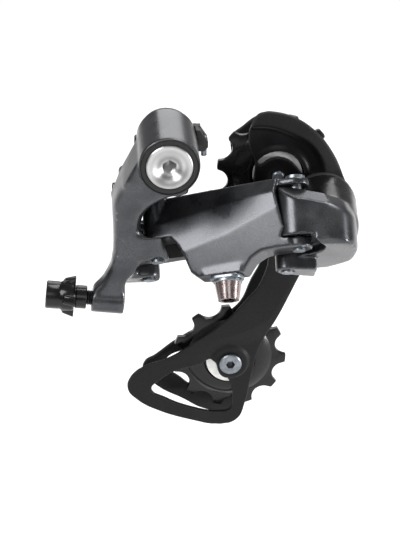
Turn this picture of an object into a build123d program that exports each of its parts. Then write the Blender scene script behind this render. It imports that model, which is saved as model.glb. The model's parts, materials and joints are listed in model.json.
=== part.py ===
"""Rear bicycle derailleur, built piece by piece in millimetres.

Axes: +X is the bicycle's forward direction, +Y points inboard towards the wheel, +Z is up.
The origin is the mounting bolt's axis where the part seats on the frame's hanger.
"""
import os
from math import cos, radians, sin

from build123d import *

os.makedirs("parts", exist_ok=True)

# ---- driving sizes ---------------------------------------------------------------------------
# bracket barrel and mounting bolt
barrel_r = 11.1
barrel_front_y = -33.0
barrel_back_y = -3.2
barrel_wall = 1.9
bolt_shaft_r = 5.5
bolt_thread_r = 5.0
bolt_thread_length = 8.5
thread_relief = 1.0
thread_chamfer = 0.7
bolt_head_r = 8.35
bolt_head_height = 2.6
bolt_hex = 5.0
stop_plate_thickness = 3.0

# four link pins, all parallel, leaning by pin_lean from the vertical
pin_lean = 42.0
pin_r = 2.25
rear_pin_foot = (-4.15, -18.0, -44.8)
link_length = 55.0
link_rest_angle = -22.0
inner_pin_shift = (-3.2, 13.5)
rear_ear = 7.0
link_bottom = rear_ear + 0.3
link_top = 24.0
upper_ear = 6.0
front_ear_bottom = -2.2
front_ear = 3.5
inner_link_bottom = 3.3
inner_link_top = 14.7
inner_ear = 3.4
link_wall_in = 2.4
link_flange = 2.6
boss_r = 5.0
knuckle_boss_r = 7.4

# pulley cage
pulley_teeth = 11
chain_pitch = 12.7
tooth_height = 3.9
tooth_width = 2.2
pulley_body_width = 5.4
pulley_mid_y = 8.0
pulley_gap = 8.6
plate_thickness = 2.0
cage_axle_from_front_pin = (12.755, 0.014)
guide_from_axle = (-17.0, 11.2)
tension_from_axle = (-34.5, -70.2)
cage_axle_r = 4.0
knuckle_r = 13.0
dust_cap_r = 9.5
dust_cap_thickness = 0.8
pulley_bolt_r = 2.5

# cable adjuster
cable_boss_centre = (-23.2, -15.0, -61.5)
cable_boss_length = 12.4
cable_boss_r = 5.3
adjuster_tilt = 7.0
cable_hole_r = 0.9

# fits
running = 0.05
open_pivot = 0.3
side_gap = 0.3

# ---- derived frames --------------------------------------------------------------------------
lean = radians(pin_lean)
pin_up = Vector(0, sin(lean), cos(lean))
pin_in = Vector(0, cos(lean), -sin(lean))
rear_foot = Vector(*rear_pin_foot)
rest = radians(link_rest_angle)
outer_rear = (rear_foot.X, 0.0)
inner_rear = (outer_rear[0] + inner_pin_shift[0], outer_rear[1] + inner_pin_shift[1])
outer_front = (outer_rear[0] + link_length * cos(rest), outer_rear[1] + link_length * sin(rest))
inner_front = (outer_front[0] + inner_pin_shift[0], outer_front[1] + inner_pin_shift[1])
front_pin_z = rear_foot.Z + pin_in.Z * outer_front[1]
cage_axle = (outer_front[0] + cage_axle_from_front_pin[0], front_pin_z + cage_axle_from_front_pin[1])
guide_centre = (cage_axle[0] + guide_from_axle[0], cage_axle[1] + guide_from_axle[1])
tension_centre = (cage_axle[0] + tension_from_axle[0], cage_axle[1] + tension_from_axle[1])
pulley_root_r = chain_pitch / (2 * sin(radians(180 / pulley_teeth))) - 3.5
pulley_tip_r = pulley_root_r + tooth_height
outer_plate_in_y = pulley_mid_y - pulley_gap / 2
outer_plate_out_y = outer_plate_in_y - plate_thickness
inner_plate_in_y = pulley_mid_y + pulley_gap / 2
inner_plate_out_y = inner_plate_in_y + plate_thickness
bolt_seat_y = barrel_front_y + 2.4
neck_r = bolt_thread_r - thread_relief


def facing_out(y):
    """Plane at this depth whose sketches read X across and Z up, extruding outboard (-Y)."""
    return Plane(origin=(0, y, 0), x_dir=(1, 0, 0), z_dir=(0, -1, 0))


def across_pins(height):
    """Plane square to the link pins: X across, second axis inboard, extruding up the pins."""
    start = Vector(0, rear_foot.Y, rear_foot.Z) + pin_up * height
    return Plane(origin=start, x_dir=(1, 0, 0), z_dir=pin_up)


def pin_point(spot, height):
    """Point in space for a spot on the across_pins plane at a height up the pins."""
    return Vector(spot[0], rear_foot.Y, rear_foot.Z) + pin_in * spot[1] + pin_up * height


def along_link(s, out):
    """Spot on the across_pins plane: s along the outer link from its rear pin, out to outboard."""
    x = outer_rear[0] + s * cos(rest) + out * sin(rest)
    inboard = outer_rear[1] + s * sin(rest) - out * cos(rest)
    return (x, inboard)


def link_face(out):
    """Plane flat on the outer link: along the link, up the pins, extruding outboard."""
    along = Vector(cos(rest), 0, 0) + pin_in * sin(rest)
    normal = Vector(sin(rest), 0, 0) - pin_in * cos(rest)
    start = rear_foot + normal * out
    return Plane(origin=start, x_dir=along, z_dir=normal)


def facet(s, height, out, lean_vector):
    """Slanted plane through a point given on the outer link, for trimming its outboard face."""
    frame = link_face(0)
    along, up, normal = frame.x_dir, frame.y_dir, frame.z_dir
    start = frame.origin + along * s + up * height + normal * out
    return Plane(origin=start, z_dir=along * lean_vector[0] + up * lean_vector[1] + normal * lean_vector[2])


def shifted(centre, offsets):
    """Points given as offsets from a centre."""
    return [(centre[0] + dx, centre[1] + dz) for dx, dz in offsets]


def save(shape, name):
    """Label one finished piece and write it out."""
    shape.part.label = name
    export_step(shape.part, f"parts/{name}.step")


def disc(plane, centre, radius, amount):
    """Round slab on a plane, joined to the part being built."""
    with BuildSketch(plane) as outline:
        with Locations(centre):
            Circle(radius)
    extrude(outline.sketch, amount=amount)


def bore(plane, centre, radius, amount, both=False):
    """Round hole cut from a plane, out of the part being built."""
    with BuildSketch(plane) as outline:
        with Locations(centre):
            Circle(radius)
    extrude(outline.sketch, amount=amount, both=both, mode=Mode.SUBTRACT)


# ---- mounting bolt ---------------------------------------------------------------------------
with BuildPart() as mounting_bolt:
    disc(facing_out(bolt_seat_y - running), (0, 0), bolt_head_r, bolt_head_height)
    head_rim = mounting_bolt.edges().group_by(Axis.Y)[0]
    chamfer(head_rim, 0.35)
    bore(facing_out(bolt_seat_y - running - bolt_head_height), (0, 0), 4.1, 0.5, both=True)
    shaft_length = running - bolt_seat_y - stop_plate_thickness
    disc(facing_out(-stop_plate_thickness), (0, 0), bolt_shaft_r, shaft_length)
    disc(facing_out(0.0), (0, 0), neck_r, stop_plate_thickness)
    disc(facing_out(bolt_thread_length), (0, 0), bolt_thread_r, bolt_thread_length)
    chamfer(mounting_bolt.edges().group_by(Axis.Y)[-1], thread_chamfer)
    with BuildSketch(facing_out(bolt_seat_y + 2.0)):
        RegularPolygon(bolt_hex / 2, 6, major_radius=False, rotation=30)
    extrude(amount=10, mode=Mode.SUBTRACT)
save(mounting_bolt, "mounting_bolt")

# ---- stop plate between bolt shoulder and hanger, with its lug -------------------------------
stop_lug_x = barrel_r + 1.7
stop_screw_r = 1.1
stop_screw_spot = (stop_lug_x + 1.1, -4.6)
with BuildPart() as stop_plate:
    with BuildSketch(facing_out(0.0)):
        Circle(barrel_r - 1.2)
        with Locations((stop_lug_x / 2, -0.6)):
            Rectangle(stop_lug_x, 8.0)
    extrude(amount=stop_plate_thickness)
    with BuildSketch(facing_out(0.0)):
        with BuildLine():
            Polyline((barrel_r - 0.6, 3.6), (stop_lug_x - 0.4, 3.2), (stop_lug_x + 2.6, -1.4),
                     (stop_lug_x + 2.6, -3.4),
                     (stop_lug_x + 1.2, -5.0), (barrel_r - 1.0, -5.0), close=True)
        make_face()
    extrude(amount=7.0)
    with BuildSketch(facing_out(0.0 - stop_plate_thickness)):
        Circle(barrel_r + 0.3)
    extrude(amount=10.0, mode=Mode.SUBTRACT)
    with BuildSketch(facing_out(0.0)):
        with Locations((-barrel_r + 2.8, -3.0)):
            RectangleRounded(7.0, 5.0, 1.0)
    extrude(amount=stop_plate_thickness)
    bore(facing_out(0.0), (0, 0), bolt_thread_r + 0.15, 20, both=True)
    bore(Plane.XY.offset(-15), stop_screw_spot, stop_screw_r, 40)
save(stop_plate, "stop_plate")

with BuildPart() as stop_screw:
    disc(Plane.XY.offset(-7.6), stop_screw_spot, stop_screw_r, 7.6)
    chamfer(stop_screw.edges().group_by(Axis.Z)[0], 0.25)
    with BuildSketch(Plane.XY):
        with Locations(stop_screw_spot):
            RegularPolygon(0.6, 6, major_radius=False)
    extrude(amount=-1.5, mode=Mode.SUBTRACT)
save(stop_screw, "stop_screw")

# ---- bracket body ----------------------------------------------------------------------------
spring_room_r = barrel_r - barrel_wall
bearing_wall_y = bolt_seat_y + 4.6
bushing_r = bolt_shaft_r + 1.1
seal_r = barrel_r - 0.65
upright_left = -20.6
web_back_y = -9.0
foot_face_y = -21.6
upright_right = outer_rear[0] - boss_r - 1.7
inner_upright_right = inner_rear[0] - boss_r - 0.2
ear_r = boss_r - 0.4
inner_ear_r = boss_r - 0.6
outer_ear_floor = link_top + side_gap + 0.3
inner_ear_floor = inner_link_top + side_gap
boss_axis = Vector(-cos(radians(adjuster_tilt)), 0, sin(radians(adjuster_tilt)))
boss_centre = Vector(*cable_boss_centre)
boss_plane = Plane(origin=boss_centre - boss_axis * (cable_boss_length / 2), x_dir=(0, 1, 0),
                   z_dir=boss_axis)
boss_face = Plane(origin=boss_centre + boss_axis * (cable_boss_length / 2), x_dir=(0, 1, 0),
                  z_dir=boss_axis)

limit_screw_r = 1.6
limit_head_r = 3.0
limit_head_sunk = 2.0
limit_reach = upright_right - upright_left - limit_head_sunk + 0.6
limit_depth = 0.6
high_limit_height = 18.6
low_limit_height = 11.8
limit_face = Plane(origin=rear_foot + Vector(upright_left + limit_head_sunk - rear_foot.X, 0, 0),
                   x_dir=pin_in, z_dir=(1, 0, 0))

with BuildPart() as web:
    with BuildSketch(facing_out(web_back_y)):
        with BuildLine():
            Polyline((-barrel_r + 0.2, 2.0), (-16.6, -8.6), (-20.1, -17.2), (-21.2, -19.6),
                     (upright_left, -23.0),
                     (upright_left - 0.2, -44.0), (upright_right, -44.0), (upright_right, -31.5),
                     (-9.4, -24.0), (-6.4, -18.8), (-1.4, -15.6), (7.0, -12.0), (7.0, 2.0), close=True)
        make_face()
    extrude(amount=25.0)
    with BuildSketch(Plane(origin=(-30, 0, 0), x_dir=(0, 1, 0), z_dir=(1, 0, 0))):
        with BuildLine():
            Polyline((-30.5, 3.0), (-30.5, -8.0), (-27.6, -17.0), (-23.6, -26.0), (foot_face_y, -33.0),
                     (foot_face_y, -46.0),
                     (web_back_y, -46.0), (web_back_y, 3.0), close=True)
        make_face()
    extrude(amount=60.0, mode=Mode.INTERSECT)
    # foot of the L carrying the outer rear pin, square to the pins on its underside
    with BuildSketch(across_pins(0.0)):
        with BuildLine():
            Polyline((upright_left - 0.2, -12.0), (outer_rear[0] + 3.4, -12.0),
                     (outer_rear[0] + ear_r, 0.0),
                     (upright_left - 0.2, 0.0), close=True)
        make_face()
    extrude(amount=rear_ear)
    split(bisect_by=across_pins(0.0), keep=Keep.TOP)
    split(bisect_by=facing_out(foot_face_y - 9.0), keep=Keep.BOTTOM)
    with BuildSketch(facing_out(foot_face_y)):
        with Locations((-5.0, -45.0)):
            Rectangle(40.0, 24.0)
    extrude(amount=20.0, mode=Mode.SUBTRACT)

with BuildPart() as bracket_body:
    disc(facing_out(barrel_back_y), (0, 0), barrel_r, barrel_back_y - barrel_front_y)
    chamfer(bracket_body.edges().group_by(Axis.Y)[0], 0.5)
    add(web.part)
    # outer fork upright and its two ears
    with BuildSketch(across_pins(0.0)):
        with BuildLine():
            Polyline((upright_left, -ear_r), (upright_right, -ear_r), (upright_right, ear_r + 2),
                     (upright_left, ear_r + 2),
                     close=True)
        make_face()
    extrude(amount=outer_ear_floor + upper_ear)
    for floor, height in ((0.0, rear_ear), (outer_ear_floor, upper_ear)):
        with BuildSketch(across_pins(floor)):
            with Locations(outer_rear):
                Circle(ear_r)
            with Locations(((upright_left + outer_rear[0]) / 2, 0)):
                Rectangle(outer_rear[0] - upright_left, 2 * ear_r)
        extrude(amount=height)
    # inner fork upright and its two ears
    with BuildSketch(across_pins(-inner_ear)):
        with BuildLine():
            Polyline((upright_left + 1, 4.0), (inner_upright_right, 4.0),
                     (inner_upright_right, inner_rear[1] + inner_ear_r),
                     (upright_left + 1, inner_rear[1] + inner_ear_r), close=True)
        make_face()
    extrude(amount=inner_ear_floor + 2 * inner_ear)
    for floor, height in ((-inner_ear, 2 * inner_ear - side_gap), (inner_ear_floor, inner_ear)):
        with BuildSketch(across_pins(floor)):
            with Locations(inner_rear):
                Circle(inner_ear_r)
            with Locations(((upright_left + 1 + inner_rear[0]) / 2, inner_rear[1])):
                Rectangle(inner_rear[0] - upright_left - 1, 2 * inner_ear_r)
        extrude(amount=height)
    # riser joining the upper ear to the barrel
    with BuildSketch(facing_out(-barrel_wall - 1.4)):
        with BuildLine():
            Polyline((-18.0, -12.0), (-18.0, -24.0), (-1.0, -24.0), (2.0, -9.0), (-8.0, -6.0), close=True)
        make_face()
    extrude(amount=5.0)
    # arm down to the cable boss
    with BuildSketch(facing_out(cable_boss_centre[1] + 4.2)):
        with BuildLine():
            Polyline((upright_left, -38.0), (-21.6, -46.0), (-25.0, -52.5), (-29.0, -56.5), (-28.6, -61.0),
                     (-17.6, -62.0),
                     (-16.2, -53.0), (-11.0, -46.5), (-11.0, -38.0), close=True)
        make_face()
    extrude(amount=8.4)
    disc(boss_plane, (0, 0), cable_boss_r, cable_boss_length)
    # bores
    bore(facing_out(barrel_front_y), (0, 0), seal_r, barrel_front_y - bolt_seat_y)
    bore(facing_out(bearing_wall_y), (0, 0), bushing_r, 12)
    bore(facing_out(0.0), (0, 0), spring_room_r, -bearing_wall_y)
    bore(across_pins(-1.0), outer_rear, pin_r, outer_ear_floor + upper_ear + 2)
    bore(across_pins(-inner_ear - 1.0), inner_rear, pin_r, inner_ear_floor + 2 * inner_ear + 2)
    bore(boss_face, (0, 0), 2.95, -cable_boss_length + 2.0)
    bore(boss_face, (0, 0), cable_hole_r + 0.4, -cable_boss_length - 2.0)
    for height in (high_limit_height, low_limit_height):
        bore(limit_face.offset(-2), (limit_depth, height), limit_screw_r, limit_reach + 4)
        bore(limit_face.offset(-4), (limit_depth, height), limit_head_r + 0.2, 4)
    # room for the two links to swing
    with BuildSketch(across_pins(link_bottom - side_gap)):
        with Locations(outer_rear):
            Circle(boss_r + 0.4)
    extrude(amount=outer_ear_floor - link_bottom + side_gap, mode=Mode.SUBTRACT)
    with BuildSketch(across_pins(inner_link_bottom - side_gap)):
        with Locations(inner_rear):
            Circle(boss_r)
    extrude(amount=inner_ear_floor - inner_link_bottom + side_gap, mode=Mode.SUBTRACT)
save(bracket_body, "bracket_body")

with BuildPart() as barrel_bushing:
    disc(facing_out(bearing_wall_y), (0, 0), bushing_r, bearing_wall_y - bolt_seat_y)
    bore(facing_out(0), (0, 0), bolt_shaft_r + running, 60)
save(barrel_bushing, "barrel_bushing")

with BuildPart() as barrel_seal:
    disc(facing_out(bolt_seat_y), (0, 0), seal_r, bolt_seat_y - barrel_front_y - 0.2)
    bore(facing_out(0), (0, 0), bolt_head_r + 0.12, 60)
    fillet(barrel_seal.edges().group_by(Axis.Y)[0], 0.4)
save(barrel_seal, "barrel_seal")


def coil(centre, direction, mean_r, wire_r, length, turns):
    """Round-wire coil spring along a direction from its first end."""
    pitch = length / turns
    with BuildPart() as spring:
        with BuildLine() as path:
            Helix(pitch, length, mean_r, center=centre, direction=direction)
        with BuildSketch(Plane(origin=path.line @ 0, z_dir=path.line % 0)):
            Circle(wire_r)
        sweep()
    return spring


barrel_spring = coil((0, -5.0, 0), (0, -1, 0), (spring_room_r + bolt_shaft_r) / 2, 0.9, 19.5, 7)
save(barrel_spring, "barrel_spring")


# ---- link pins -------------------------------------------------------------------------------
def link_pin(spot, foot, top, head):
    """Straight pin through a pair of ears; head is the height of its flat head, or zero."""
    with BuildPart() as pin:
        disc(across_pins(foot), spot, pin_r, top - foot)
        if head:
            disc(across_pins(top), spot, pin_r + 1.4, head)
    return pin


outer_rear_pin = link_pin(outer_rear, -0.4, outer_ear_floor + upper_ear, 1.2)
save(outer_rear_pin, "outer_rear_pin")
inner_rear_pin = link_pin(inner_rear, -inner_ear - 0.4, inner_ear_floor + inner_ear, 1.2)
save(inner_rear_pin, "inner_rear_pin")

# ---- outer link ------------------------------------------------------------------------------
front_ear_floor = link_top - 2.6
clamp_spot = (27.5, 1.0)
shelf_height = 3.0
tongue_bottom = -9.2
link_rear_s = -boss_r + 0.4
link_back_out = -4.6
link_outline = [(link_rear_s, link_bottom), (7.2, link_bottom), (10.0, 4.0), (12.2, -0.5), (13.2, -3.8),
                (14.2, -6.8),
                (17.0, tongue_bottom), (link_length - 20.4, tongue_bottom), (link_length - 18.8, -7.0),
                (link_length - 16.9, -4.6), (link_length - 12.9, -2.6),
                (link_length - 7.3, front_ear_bottom),
                (link_length - 1.0, front_ear_bottom), (link_length - 3.7, 7.0), (link_length - 4.8, 12.4),
                (link_length - 6.0, 18.5), (link_length - 5.2, link_top), (link_rear_s, link_top)]
with BuildPart() as outer_link:
    with BuildSketch(link_face(link_back_out)):
        with BuildLine():
            Polyline(*link_outline, close=True)
        make_face()
    extrude(amount=9.0 - link_back_out)
    # the wall flares outboard towards the front
    with BuildSketch(across_pins(tongue_bottom - 1)):
        with BuildLine():
            Polyline(along_link(link_rear_s, -2.5), along_link(link_rear_s, 2.5), along_link(-2.2, 5.0),
                     along_link(30, 6.9), along_link(link_length - 2.5, 8.8), along_link(link_length, 6.5),
                     along_link(link_length, link_back_out), along_link(-2.2, link_back_out), close=True)
        make_face()
    extrude(amount=link_top - tongue_bottom + 2, mode=Mode.INTERSECT)
    # upper and lower facets on the outboard face
    split(bisect_by=facet(3.0, 13.0, 5.25, (-0.1125, 0.35, 1.0)), keep=Keep.BOTTOM)
    split(bisect_by=facet(13.0, 1.5, 5.9, (-0.0117, -0.20, 1.0)), keep=Keep.BOTTOM)
    # hollow back: a wall outboard with a flange all round
    with BuildSketch(link_face(link_back_out - 1)):
        with BuildLine():
            Polyline(*link_outline, close=True)
        make_face()
        offset(amount=-link_flange, kind=Kind.INTERSECTION)
    extrude(amount=link_wall_in - link_back_out + 1, mode=Mode.SUBTRACT)
    disc(across_pins(link_bottom), outer_rear, boss_r, link_top - link_bottom)
    # front ears round the front pin
    for floor, height in ((front_ear_bottom, front_ear), (front_ear_floor, link_top - front_ear_floor)):
        with BuildSketch(across_pins(floor)):
            with Locations(outer_front):
                Circle(boss_r)
            with BuildLine():
                Polyline(along_link(link_length - 13, 5.6), along_link(link_length, 5.0),
                         along_link(link_length, -5.0),
                         along_link(link_length - 13, link_back_out), close=True)
            make_face()
        extrude(amount=height)
    # shelf under the tongue for the cable clamp
    with BuildSketch(across_pins(tongue_bottom)):
        with BuildLine():
            Polyline(along_link(19.0, 4.4), along_link(34.0, 4.8), along_link(34.0, link_back_out),
                     along_link(19.0, link_back_out), close=True)
        make_face()
    extrude(amount=shelf_height)
    bore(across_pins(tongue_bottom - 5), outer_rear, pin_r + running, 60)
    bore(across_pins(tongue_bottom - 5), outer_front, pin_r + running, 60)
    bore(across_pins(tongue_bottom - 5), along_link(*clamp_spot), 2.5, 9)
    # open space between the front ears for the knuckle
    with BuildSketch(across_pins(front_ear_bottom + front_ear)):
        with Locations(outer_front):
            Circle(knuckle_boss_r + side_gap)
    extrude(amount=front_ear_floor - front_ear_bottom - front_ear, mode=Mode.SUBTRACT)
save(outer_link, "outer_link")

# ---- cable clamp under the outer link --------------------------------------------------------
clamp_plate_t = 1.6
clamp_washer_t = 1.2
clamp_top = tongue_bottom
with BuildPart() as clamp_plate:
    with BuildSketch(across_pins(clamp_top - clamp_plate_t)):
        with BuildLine():
            Polyline(along_link(21.0, 5.4), along_link(33.6, 5.4), along_link(34.2, -3.6),
                     along_link(21.0, -3.6), close=True)
        make_face()
    extrude(amount=clamp_plate_t)
    bore(across_pins(clamp_top - 5), along_link(*clamp_spot), 2.55, 9)
save(clamp_plate, "clamp_plate")

with BuildPart() as clamp_washer:
    disc(across_pins(clamp_top - clamp_plate_t - clamp_washer_t), along_link(*clamp_spot), 5.4,
         clamp_washer_t)
    bore(across_pins(clamp_top - 5), along_link(*clamp_spot), 2.55, 9)
save(clamp_washer, "clamp_washer")

clamp_head_top = clamp_top - clamp_plate_t - clamp_washer_t
with BuildPart() as clamp_bolt:
    with BuildSketch(across_pins(clamp_head_top)):
        with Locations(along_link(*clamp_spot)):
            Circle(5.0)
    with BuildSketch(across_pins(clamp_head_top - 6.4)):
        with Locations(along_link(*clamp_spot)):
            Circle(3.9)
    loft()
    disc(across_pins(clamp_head_top), along_link(*clamp_spot), 2.5,
         clamp_plate_t + clamp_washer_t + shelf_height)
    with BuildSketch(across_pins(clamp_head_top - 6.4)):
        with Locations(along_link(*clamp_spot)):
            RegularPolygon(2.5, 6, major_radius=False)
    extrude(amount=4.0, mode=Mode.SUBTRACT)
save(clamp_bolt, "clamp_bolt")


# ---- inner link ------------------------------------------------------------------------------
def along_inner(s, out):
    """Spot on the across_pins plane measured along the inner link from its rear pin."""
    spot = along_link(s, out)
    return (spot[0] + inner_pin_shift[0], spot[1] + inner_pin_shift[1])


inner_bar = 2.4
with BuildPart() as inner_link:
    with BuildSketch(across_pins(inner_link_bottom)):
        with BuildLine():
            Polyline(along_inner(0, inner_bar + 1.4), along_inner(12, inner_bar),
                     along_inner(link_length - 12, inner_bar),
                     along_inner(link_length, inner_bar + 1.4), along_inner(link_length, -inner_bar - 1.4),
                     along_inner(link_length - 12, -inner_bar), along_inner(12, -inner_bar),
                     along_inner(0, -inner_bar - 1.4), close=True)
        make_face()
        for spot in (inner_rear, inner_front):
            with Locations(spot):
                Circle(inner_ear_r)
    extrude(amount=inner_link_top - inner_link_bottom)
    # spring pocket around the rear pin
    with BuildSketch(across_pins(inner_link_bottom + 5.4)):
        with Locations(inner_rear):
            Circle(inner_ear_r + 1.6)
    extrude(amount=10, mode=Mode.SUBTRACT)
    bore(across_pins(0), inner_rear, pin_r + running, 30)
    bore(across_pins(0), inner_front, pin_r + open_pivot, 30)
save(inner_link, "inner_link")

spring_base = pin_point(inner_rear, inner_link_bottom + 5.4 + 1.0)
return_spring = coil(spring_base, pin_up, pin_r + 1.2, 0.55, 4.6, 3)
save(return_spring, "return_spring")

# ---- front knuckle ---------------------------------------------------------------------------
knuckle_back_y = -1.0
knuckle_room_r = knuckle_r - 3.2
knuckle_room_y = -12.0
axle_end_y = -19.0
knuckle_floor = front_ear_bottom
knuckle_boss_top = front_ear_floor - side_gap
knuckle_boss_floor = front_ear_bottom + front_ear + side_gap
screw_y = axle_end_y + 4.0


def knuckle_cut(inboard, height, lean_vector):
    """Slanted plane beside the outer front pin, for trimming the knuckle's shoulder and underside."""
    normal = Vector(lean_vector[0], 0, 0) + pin_in * lean_vector[1] + pin_up * lean_vector[2]
    return Plane(origin=pin_point((outer_front[0], outer_front[1] + inboard), height), z_dir=normal)


with BuildPart() as shell:
    with BuildSketch(across_pins(-14.0)):
        with BuildLine():
            Polyline((outer_front[0] + 15.5, outer_front[1] + 29),
                     (outer_front[0] + 4.0, outer_front[1] + 28),
                     (outer_front[0] + 2.0, outer_front[1] + 10),
                     (outer_front[0] - 2, outer_front[1] + 4.2),
                     (outer_front[0] - 2, outer_front[1] - 4.1),
                     (outer_front[0], outer_front[1] - knuckle_boss_r))
            Spline((outer_front[0], outer_front[1] - knuckle_boss_r),
                   (outer_front[0] + 3.0, outer_front[1] - 7.6),
                   (outer_front[0] + 7.0, outer_front[1] - 8.3),
                   (outer_front[0] + 11.5, outer_front[1] - 8.5),
                   (outer_front[0] + 16.0, outer_front[1] - 7.2),
                   (outer_front[0] + 19.4, outer_front[1] - 4.0),
                   (outer_front[0] + 21.8, outer_front[1] + 2), (outer_front[0] + 22.8, outer_front[1] + 9),
                   (outer_front[0] + 22.6, outer_front[1] + 16),
                   (outer_front[0] + 20.6, outer_front[1] + 23),
                   (outer_front[0] + 15.5, outer_front[1] + 29))
        make_face()
        with Locations(outer_front):
            Circle(knuckle_boss_r)
    extrude(amount=50)
    with BuildSketch(facing_out(-6.0)):
        with BuildLine():
            Polyline((outer_front[0] - 7, -9.5), (outer_front[0] + 2, -9.5),
                     (cage_axle[0] - 3.5, cage_axle[1] + 16.0),
                     (cage_axle[0] + 4.4, cage_axle[1] + 12.2), (cage_axle[0] + 8.6, cage_axle[1] + 7.0),
                     (cage_axle[0] + 10.4, cage_axle[1] - 3.0), (cage_axle[0] + 9.6, cage_axle[1] - 14.4),
                     (cage_axle[0] + 5.0, cage_axle[1] - 18.0), (cage_axle[0] - 8.0, cage_axle[1] - 27.0),
                     (outer_front[0] - 7, cage_axle[1] - 27.0), close=True)
        make_face()
    extrude(amount=40, mode=Mode.INTERSECT)
    split(bisect_by=across_pins(knuckle_floor), keep=Keep.TOP)
    split(bisect_by=across_pins(knuckle_boss_top), keep=Keep.BOTTOM)
    split(bisect_by=knuckle_cut(-9.0, 13.2, (0.12, -1.1, 1.0)), keep=Keep.BOTTOM)
    split(bisect_by=knuckle_cut(-3.0, 20.4, (0.25, -0.15, 1.0)), keep=Keep.BOTTOM)
    split(bisect_by=knuckle_cut(-9.0, -0.2, (0.0, -1.0, -1.3)), keep=Keep.BOTTOM)

with BuildPart() as front_knuckle:
    with BuildSketch(facing_out(knuckle_back_y)):
        with Locations(cage_axle):
            Circle(knuckle_r)
    extrude(amount=22.0, taper=5)
    split(bisect_by=across_pins(knuckle_floor + 0.5), keep=Keep.TOP)
    add(shell.part)
    # lower and upper ears for the inner link
    for floor, top in ((-7.0, inner_link_bottom - side_gap),
                       (inner_link_top + side_gap, inner_link_top + side_gap + inner_ear)):
        with BuildSketch(across_pins(floor)):
            with Locations(inner_front):
                Circle(inner_ear_r)
            with BuildLine():
                Polyline((inner_front[0], inner_front[1] - inner_ear_r),
                         (inner_front[0] + 11, inner_front[1] - 2),
                         (inner_front[0] + 11, inner_front[1] + inner_ear_r + 5),
                         (inner_front[0], inner_front[1] + inner_ear_r),
                         close=True)
            make_face()
        extrude(amount=top - floor)
    # recess for the outer link's lower ear
    with BuildSketch(across_pins(knuckle_floor - 3)):
        with Locations(outer_front):
            Circle(knuckle_boss_r + 2.0)
    extrude(amount=knuckle_boss_floor - knuckle_floor + 3, mode=Mode.SUBTRACT)
    # room for the inner link to swing
    with BuildSketch(across_pins(inner_link_bottom - side_gap)):
        with Locations(inner_front):
            Circle(inner_ear_r + 0.5)
        with BuildLine():
            Polyline((inner_front[0] - 14, inner_front[1] + 12),
                     (inner_front[0], inner_front[1] + inner_ear_r + 0.5),
                     (inner_front[0], inner_front[1] - inner_ear_r - 0.5),
                     (inner_front[0] - 14, inner_front[1] - 12), close=True)
        make_face()
    extrude(amount=inner_link_top - inner_link_bottom + 2 * side_gap, mode=Mode.SUBTRACT)
    bore(across_pins(-10), outer_front, pin_r, 60)
    bore(across_pins(-10), inner_front, pin_r, 40)
    bore(facing_out(0), cage_axle, knuckle_room_r, -knuckle_room_y)
    bore(facing_out(0), cage_axle, cage_axle_r + running, -axle_end_y + 0.3)
    bore(Plane(origin=(cage_axle[0], 0, 0), x_dir=(0, 1, 0), z_dir=(1, 0, 0)), (screw_y, cage_axle[1]), 1.5,
         20)
    # stop lug for the cage
    with BuildSketch(facing_out(-2.0)):
        with Locations((cage_axle[0] - 10.2, cage_axle[1] + 11.4)):
            Rectangle(3.4, 5.0, rotation=45)
    extrude(amount=5)
save(front_knuckle, "front_knuckle")

outer_front_pin = link_pin(outer_front, front_ear_bottom - 0.8, link_top, 1.3)
save(outer_front_pin, "outer_front_pin")
inner_front_pin = link_pin(inner_front, -7.6, inner_link_top + side_gap + inner_ear, 1.0)
save(inner_front_pin, "inner_front_pin")

with BuildPart() as axle_screw:
    disc(Plane(origin=(cage_axle[0] + cage_axle_r - 0.6, 0, 0), x_dir=(0, 1, 0), z_dir=(1, 0, 0)),
         (screw_y, cage_axle[1]), 1.5, 7.0)
save(axle_screw, "axle_screw")

knuckle_spring = coil((cage_axle[0], -2.0, cage_axle[1]), (0, -1, 0), (knuckle_room_r + cage_axle_r) / 2,
                      0.9, 8.4, 4)
save(knuckle_spring, "knuckle_spring")

# ---- cage ------------------------------------------------------------------------------------
with BuildPart() as cage_pivot:
    disc(facing_out(outer_plate_in_y), cage_axle, cage_axle_r, outer_plate_in_y - axle_end_y)
    with BuildSketch(facing_out(screw_y + 1.8)):
        with Locations(cage_axle):
            Circle(cage_axle_r + 1)
            Circle(cage_axle_r - 0.8, mode=Mode.SUBTRACT)
    extrude(amount=3.6, mode=Mode.SUBTRACT)
save(cage_pivot, "cage_pivot")

with BuildPart() as knuckle_seal:
    disc(facing_out(outer_plate_out_y), cage_axle, knuckle_r - 0.5,
         outer_plate_out_y - knuckle_back_y - 0.1)
    bore(facing_out(10), cage_axle, cage_axle_r, 40)
save(knuckle_seal, "knuckle_seal")

hood = shifted(guide_centre, [(-9.0, 6.4), (-11.4, 14.0), (-10.4, 20.6), (-8.2, 24.4), (-5.0, 25.6),
                              (-1.2, 25.4), (5.8, 23.2),
                              (14.2, 17.4), (20.6, 9.2)])
around_axle = shifted(cage_axle, [(8.2, 10.4), (11.2, 0.5), (9.6, -9.2), (3.2, -16.8), (-2.8, -24.0)])
lower_right = shifted(tension_centre, [(18.8, 19.9), (11.9, 6.0), (8.8, -7.2), (6.4, -19.6), (2.9, -27.8)])
lower_left = shifted(tension_centre, [(-3.7, -29.8), (-16.0, -26.5), (-29.1, -21.6), (-37.4, -16.4),
                                      (-41.5, -10.8), (-40.0, -5.4),
                                      (-34.4, -0.8), (-25.1, 2.5), (-14.1, 9.6), (-2.2, 18.6), (5.0, 26.6),
                                      (12.1, 36.6)])
arm_left = shifted(guide_centre, [(-3.0, -30.0), (-7.4, -16.0), (-9.4, -5.0)])
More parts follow.
